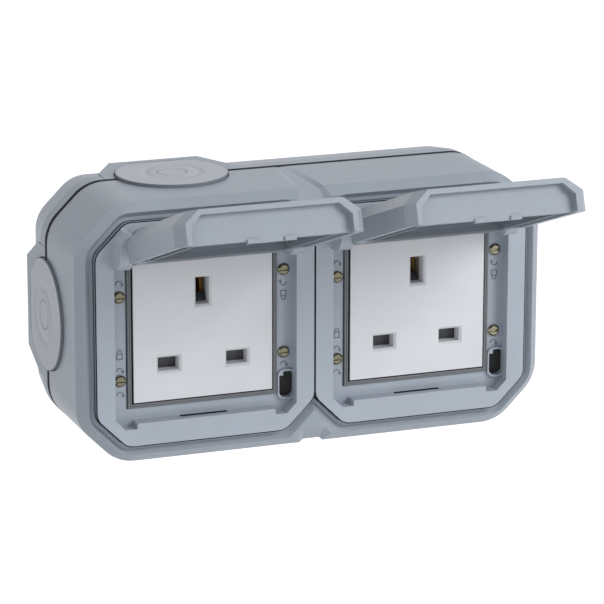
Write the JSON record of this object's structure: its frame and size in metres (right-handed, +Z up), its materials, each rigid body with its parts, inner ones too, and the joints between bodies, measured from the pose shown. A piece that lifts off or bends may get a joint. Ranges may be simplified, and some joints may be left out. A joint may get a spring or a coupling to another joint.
{
  "type": "outdoor weatherproof socket outlet",
  "caption": "Wall socket box for outdoor use: square recessed outlets for flat-pin plugs, each under a hinged lid, in a grey bevelled housing with round cable entry discs.",
  "frame": {"origin": "middle of the flat back face that sits on the wall", "axes": "+Z up the wall, +X to the right as seen from the front, +Y into the wall"},
  "size_m": [0.155, 0.1118, 0.0944],
  "materials": {
    "housing": "satin grey moulding",
    "frame": "satin grey moulding",
    "grommet": "soft light grey",
    "seal": "soft black",
    "plate": "silver white satin",
    "surround": "grey satin",
    "base": "off white",
    "shutter": "dark grey",
    "contact": "plain",
    "brass_screw": "yellow plated",
    "steel_screw": "plated",
    "spring": "drawn wire"
  },
  "bodies": {
    "housing": {"rear_box": "housing", "front_housing": "housing", "seam_gasket": "seal", "housing_screws": "steel_screw", "wall_earth_terminal": "contact", "wall_earth_screw": "steel_screw", "entry_grommet_top": "grommet", "entry_grommet_bottom": "grommet", "entry_grommet_left": "grommet", "entry_grommet_right": "grommet", "left_cover_frame": "frame", "left_frame_gasket": "seal", "left_frame_screws": "brass_screw", "left_hinge_pins": "steel_screw", "left_surround": "surround", "left_socket_plate": "plate", "left_socket_base": "base", "left_earth_contact": "contact", "left_line_contact": "contact", "left_neutral_contact": "contact", "left_terminal_screws": "steel_screw", "left_shutter_spring": "spring", "right_cover_frame": "frame", "right_frame_gasket": "seal", "right_frame_screws": "brass_screw", "right_hinge_pins": "steel_screw", "right_surround": "surround", "right_socket_plate": "plate", "right_socket_base": "base", "right_earth_contact": "contact", "right_line_contact": "contact", "right_neutral_contact": "contact", "right_terminal_screws": "steel_screw", "right_shutter_spring": "spring"},
    "left_lid_body": {"left_lid": "frame", "left_lid_seal": "seal"},
    "left_shutter_body": {"left_shutter": "shutter"},
    "right_lid_body": {"right_lid": "frame", "right_lid_seal": "seal"},
    "right_shutter_body": {"right_shutter": "shutter"}
  },
  "joints": [
    {"name": "left_lid_hinge", "type": "hinge", "parent": "housing", "child": "left_lid_body", "pos_m": [-0.0355, -0.0545, 0.0292], "axis": [1, 0, 0], "range_deg": [0, 109.4]},
    {"name": "left_shutter_slide", "type": "slide", "parent": "housing", "child": "left_shutter_body", "axis": [0, 0, -1], "range_m": [0, 0.0052], "stiffness_N_per_m": 60, "springref_m": -0.003, "deforming": ["left_shutter_spring"]},
    {"name": "right_lid_hinge", "type": "hinge", "parent": "housing", "child": "right_lid_body", "pos_m": [0.0355, -0.0545, 0.0292], "axis": [1, 0, 0], "range_deg": [0, 109.4]},
    {"name": "right_shutter_slide", "type": "slide", "parent": "housing", "child": "right_shutter_body", "axis": [0, 0, -1], "range_m": [0, 0.0052], "stiffness_N_per_m": 60, "springref_m": -0.003, "deforming": ["right_shutter_spring"]}
  ]
}
